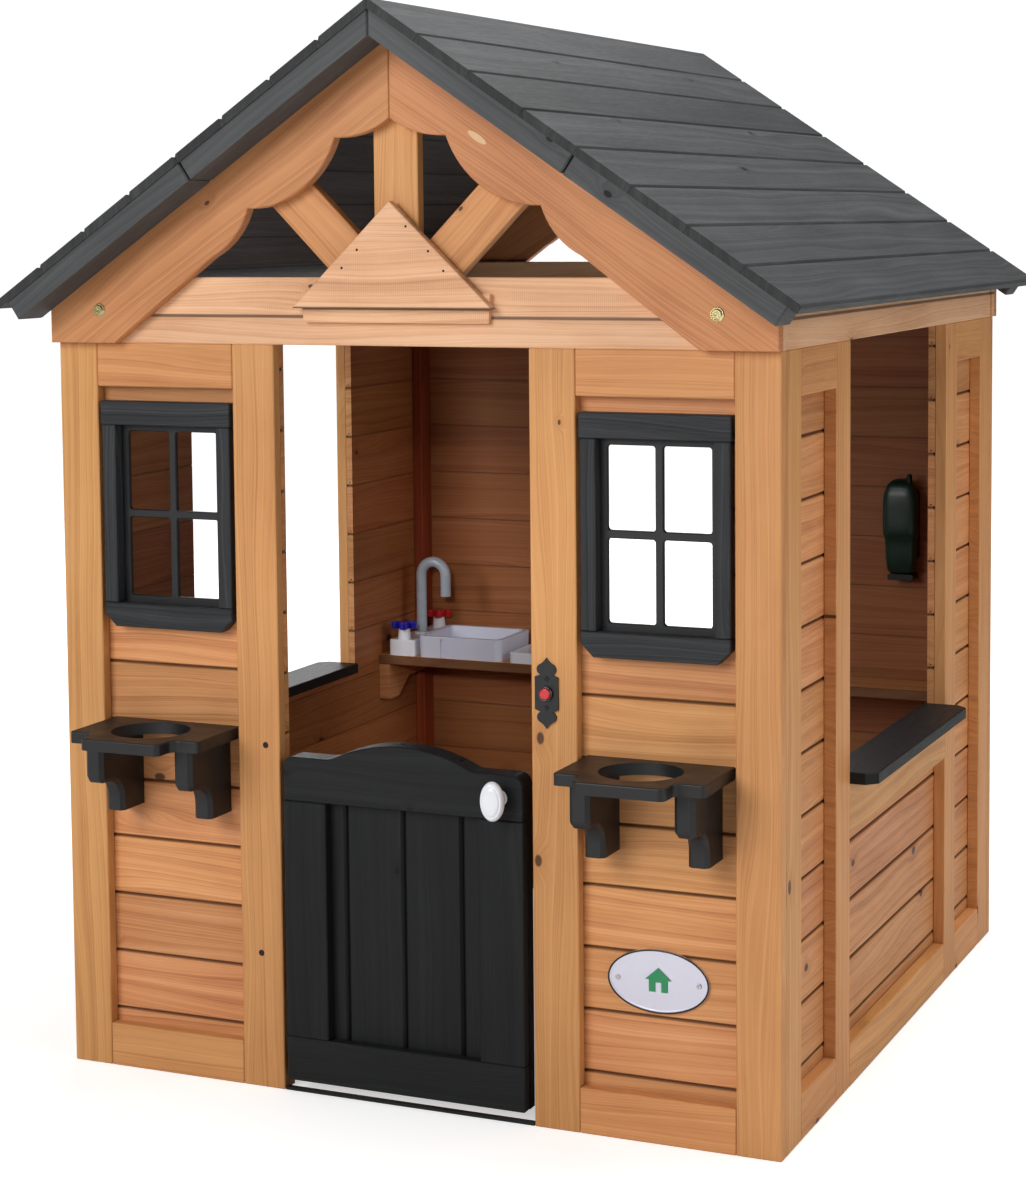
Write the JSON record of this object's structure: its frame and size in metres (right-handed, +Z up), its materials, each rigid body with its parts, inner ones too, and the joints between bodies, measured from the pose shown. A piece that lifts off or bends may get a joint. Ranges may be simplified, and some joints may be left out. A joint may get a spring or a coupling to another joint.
{
  "type": "wooden playhouse",
  "caption": "Stained cedar children's playhouse with a black boarded gable roof, arched half door, gridded windows, side counters, pot shelves, doorbell, toy kitchen and wall phone.",
  "frame": {"origin": "on the floor, under the middle of the object's bounding box", "axes": "+Z up, -Y towards the front door, +X to the right as seen from outside the front"},
  "size_m": [1.0822, 1.258, 1.385],
  "materials": {
    "cedar_stained": "satin",
    "cedar_posts": "satin",
    "black_stained_wood": "satin",
    "black_plastic": "satin",
    "black_coated_steel": "satin",
    "white_plastic": "gloss",
    "grey_plastic": "satin",
    "blue_plastic": "gloss",
    "red_plastic": "gloss",
    "green_plastic": "gloss",
    "silver_plate": "satin",
    "zinc_steel": "satin",
    "brass": "polished"
  },
  "bodies": {
    "house": {"front_left_frame": "cedar_stained", "front_left_siding": "cedar_stained", "front_right_frame": "cedar_stained", "front_right_siding": "cedar_stained", "left_window_trim": "black_stained_wood", "left_window_grid": "black_plastic", "right_window_trim": "black_stained_wood", "right_window_grid": "black_plastic", "door_threshold": "black_coated_steel", "left_wall_frames": "cedar_stained", "left_wall_siding": "cedar_stained", "left_half_wall_rails": "cedar_stained", "left_counter": "black_stained_wood", "right_wall_frames": "cedar_stained", "right_wall_siding": "cedar_stained", "right_half_wall_rails": "cedar_stained", "right_counter": "black_stained_wood", "side_headers": "cedar_stained", "back_wall_frames": "cedar_stained", "back_wall_siding": "cedar_stained", "back_half_wall_rails": "cedar_stained", "corner_posts": "cedar_posts", "front_gable_tie": "cedar_stained", "front_gable_rafters": "cedar_stained", "front_gable_spokes": "cedar_stained", "front_gable_plate": "cedar_stained", "back_gable_tie": "cedar_stained", "back_gable_rafters": "cedar_stained", "gable_bolts": "brass", "roof_left_boards": "black_stained_wood", "roof_right_boards": "black_stained_wood", "roof_left_battens": "black_stained_wood", "roof_right_battens": "black_stained_wood", "kitchen_shelf": "cedar_stained", "shelf_brackets": "cedar_stained", "sink_basin": "grey_plastic", "faucet_deck": "white_plastic", "hob": "white_plastic", "phone_cradle": "black_plastic", "left_pot_shelf": "black_plastic", "left_pot_brackets": "black_plastic", "right_pot_shelf": "black_plastic", "right_pot_brackets": "black_plastic", "doorbell_plate": "black_coated_steel", "doorbell_screws": "black_coated_steel", "name_plate": "silver_plate", "name_plate_screws": "zinc_steel", "post_hinge_leaves": "zinc_steel", "hinge_pins": "zinc_steel"},
    "door": {"door_frame": "black_stained_wood", "door_boards": "black_stained_wood", "door_knob": "white_plastic", "door_hinge_leaves": "zinc_steel"},
    "bell_button": {"doorbell_button": "red_plastic"},
    "spout": {"faucet_spout": "grey_plastic"},
    "cold_tap": {"cold_handle": "blue_plastic"},
    "hot_tap": {"hot_handle": "red_plastic"},
    "hob_control": {"hob_knob": "grey_plastic"},
    "handset": {"phone_handset": "green_plastic"}
  },
  "joints": [
    {"name": "door_swing", "type": "hinge", "parent": "house", "child": "door", "pos_m": [-0.17125, -0.475, 0.2175], "axis": [0, 0, 1], "range_deg": [0, 110]},
    {"name": "bell_push", "type": "slide", "parent": "house", "child": "bell_button", "axis": [0, 1, 0], "range_m": [0, 0.002], "stiffness_N_per_m": 300},
    {"name": "spout_swivel", "type": "hinge", "parent": "house", "child": "spout", "pos_m": [-0.4282, 0.438, 0.448], "axis": [0, 0, 1], "range_deg": [-90, 90]},
    {"name": "cold_turn", "type": "hinge", "parent": "house", "child": "cold_tap", "pos_m": [-0.4282, 0.372, 0.461], "axis": [0, 0, 1], "continuous": true},
    {"name": "hot_turn", "type": "hinge", "parent": "house", "child": "hot_tap", "pos_m": [-0.4282, 0.504, 0.461], "axis": [0, 0, 1], "continuous": true},
    {"name": "hob_turn", "type": "hinge", "parent": "house", "child": "hob_control", "pos_m": [-0.1922, 0.383, 0.434], "axis": [0, 0, 1], "range_deg": [-270, 0]},
    {"name": "handset_lift", "type": "slide", "parent": "house", "child": "handset", "axis": [0, 0, 1], "range_m": [0, 0.04]}
  ]
}
